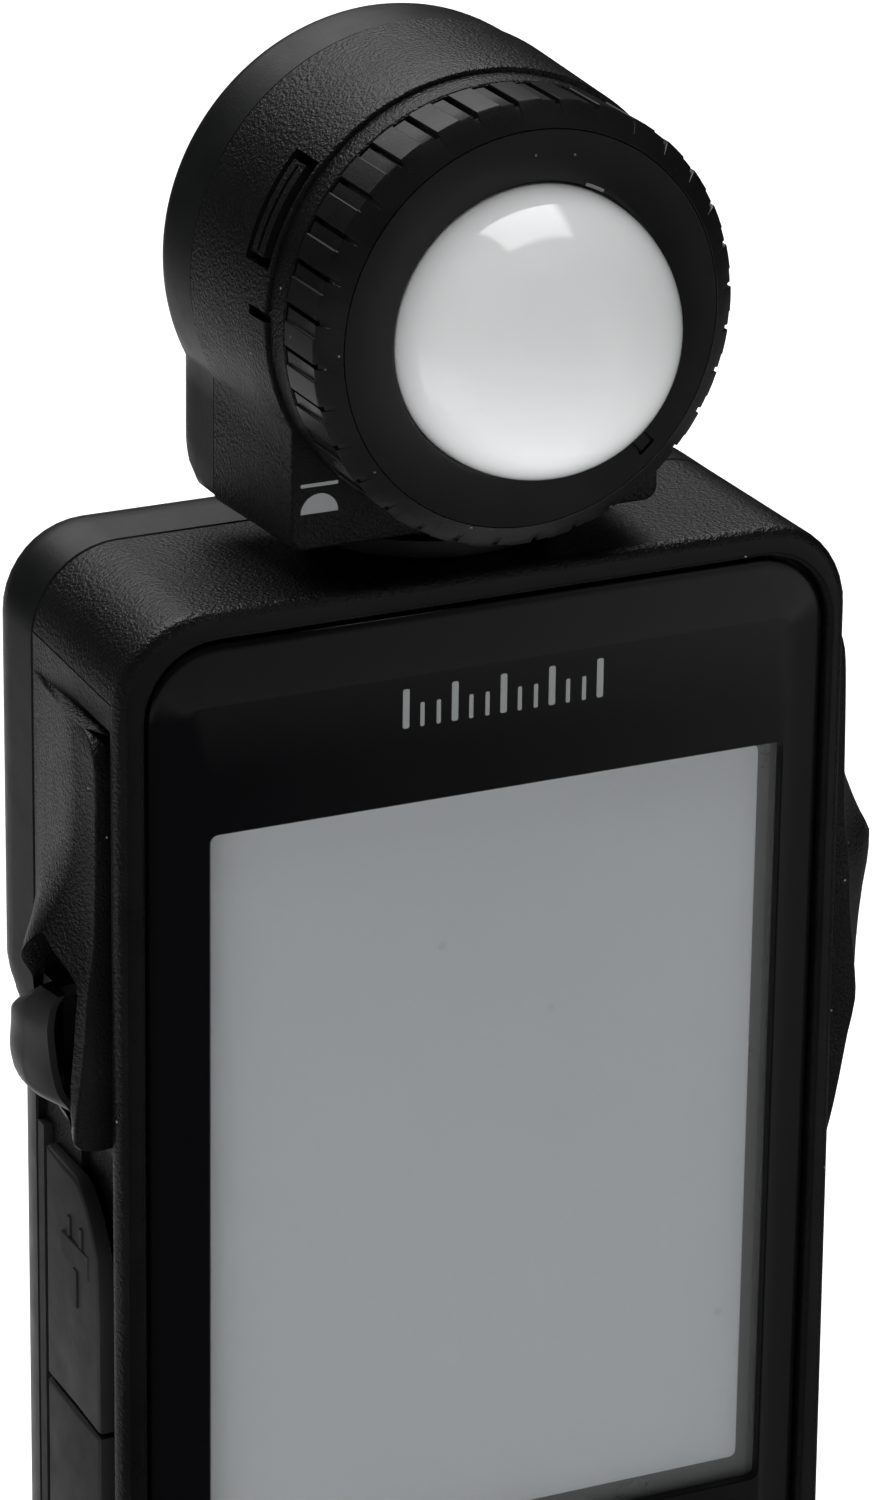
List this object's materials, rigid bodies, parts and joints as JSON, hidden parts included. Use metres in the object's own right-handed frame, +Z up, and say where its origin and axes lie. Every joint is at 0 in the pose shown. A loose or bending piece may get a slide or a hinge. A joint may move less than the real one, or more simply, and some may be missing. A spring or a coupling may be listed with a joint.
{
  "type": "handheld light meter",
  "caption": "Pocket exposure meter: touch-screen case with side paddle buttons, port covers and battery bay, swivel head with knurled ring and retracting white dome.",
  "frame": {"origin": "under the middle of the bounding box, on the bottom face the meter stands on", "axes": "+Z up towards the head, -Y the way the screen and the dome face, +X to the right seen from the front"},
  "size_m": [0.0652, 0.0386, 0.14],
  "materials": {
    "case_grain": "fine spark-eroded grain",
    "back_charcoal": "satin",
    "button_satin": "smooth satin",
    "bezel_gloss": "high gloss",
    "touch_glass": "clear",
    "lcd_grey": "unlit display",
    "tin_frame": "stamped",
    "tape_black": "foam",
    "board_green": "solder mask",
    "chip_black": "moulded",
    "switch_metal": "stamped",
    "screw_steel": "zinc plated",
    "rubber_black": "soft matte",
    "terminal_nickel": "nickel plated",
    "inner_plastic": "moulded",
    "cell_wrap": "plain sleeve",
    "contact_nickel": "nickel plated",
    "bush_brass": "turned",
    "ring_black": "soft matte",
    "dome_white": "translucent opal",
    "filter_green": "absorbing glass",
    "diode_can": "gold flashed can"
  },
  "bodies": {
    "case": {"front_shell": "case_grain", "side_panel_left": "case_grain", "side_panel_right": "case_grain", "rear_shell": "back_charcoal", "display_bezel": "bezel_gloss", "touch_panel": "touch_glass", "lcd_panel": "lcd_grey", "lcd_backlight": "tin_frame", "bezel_tape": "tape_black", "main_board": "board_green", "board_chips": "chip_black", "buzzer": "chip_black", "shell_screws": "screw_steel", "board_screws": "screw_steel", "key_switches": "switch_metal", "side_switches": "switch_metal", "cap_strip": "rubber_black", "usb_connector": "switch_metal", "sync_terminal": "terminal_nickel", "battery_tray": "inner_plastic", "battery_left": "cell_wrap", "battery_right": "cell_wrap", "contact_plates": "contact_nickel", "contact_springs": "contact_nickel", "tripod_bush": "bush_brass", "strap_bar": "screw_steel", "swivel_seat": "inner_plastic"},
    "head": {"neck_spigot": "inner_plastic", "swivel_clip": "screw_steel", "wave_washer": "screw_steel", "head_front_shell": "case_grain", "head_rear_cover": "back_charcoal", "head_screws": "screw_steel", "guide_sleeve": "inner_plastic", "filter_glass": "filter_green", "sensor_holder": "inner_plastic", "photodiode": "diode_can", "sensor_board": "board_green"},
    "ring": {"retracting_ring": "ring_black", "ring_face": "ring_black", "cam_sleeve": "inner_plastic"},
    "dome": {"dome_carrier": "inner_plastic", "diffuser_dome": "dome_white"},
    "menu_key_body": {"menu_key": "bezel_gloss"},
    "power_key_body": {"power_key": "bezel_gloss"},
    "measuring_button_body": {"measuring_button": "button_satin"},
    "memory_button_body": {"memory_button": "button_satin"},
    "usb_cap_body": {"usb_cap": "rubber_black"},
    "sync_cap_body": {"sync_cap": "rubber_black"},
    "battery_cover_body": {"battery_cover": "back_charcoal"}
  },
  "joints": [
    {"name": "head_swivel", "type": "hinge", "parent": "case", "child": "head", "pos_m": [0, 0.00617, 0.1073], "axis": [0, 0, 1], "range_deg": [-90, 180]},
    {"name": "ring_turn", "type": "hinge", "parent": "head", "child": "ring", "pos_m": [0, -0.00668, 0.12404], "axis": [0, 1, 0], "range_deg": [0, 80]},
    {"name": "dome_retract", "type": "slide", "parent": "head", "child": "dome", "axis": [0, 1, 0], "range_m": [0, 0.008]},
    {"name": "menu_key_press", "type": "slide", "parent": "case", "child": "menu_key_body", "axis": [0, 1, 0], "range_m": [0, 0.0004], "stiffness_N_per_m": 1500, "springref_m": -0.0003},
    {"name": "power_key_press", "type": "slide", "parent": "case", "child": "power_key_body", "axis": [0, 1, 0], "range_m": [0, 0.0004], "stiffness_N_per_m": 1500, "springref_m": -0.0003},
    {"name": "measuring_button_press", "type": "slide", "parent": "case", "child": "measuring_button_body", "axis": [1, 0, 0], "range_m": [0, 0.0005], "stiffness_N_per_m": 1500, "springref_m": -0.0004},
    {"name": "memory_button_press", "type": "slide", "parent": "case", "child": "memory_button_body", "axis": [-1, 0, 0], "range_m": [0, 0.0005], "stiffness_N_per_m": 1500, "springref_m": -0.0004},
    {"name": "usb_cap_hinge", "type": "hinge", "parent": "case", "child": "usb_cap_body", "pos_m": [-0.02655, 0.00863, 0.05505], "axis": [0, 0, -1], "range_deg": [0, 100], "stiffness_Nm_per_rad": 0.001},
    {"name": "sync_cap_hinge", "type": "hinge", "parent": "case", "child": "sync_cap_body", "pos_m": [-0.02655, 0.00863, 0.03925], "axis": [0, 0, -1], "range_deg": [0, 100], "stiffness_Nm_per_rad": 0.001},
    {"name": "battery_cover_slide", "type": "slide", "parent": "case", "child": "battery_cover_body", "axis": [0, 0, -1], "range_m": [0, 0.06]}
  ],
  "couplings": [
    {"joint": "dome_retract", "follows": "ring_turn", "m_per_rad": 0.005729}
  ]
}
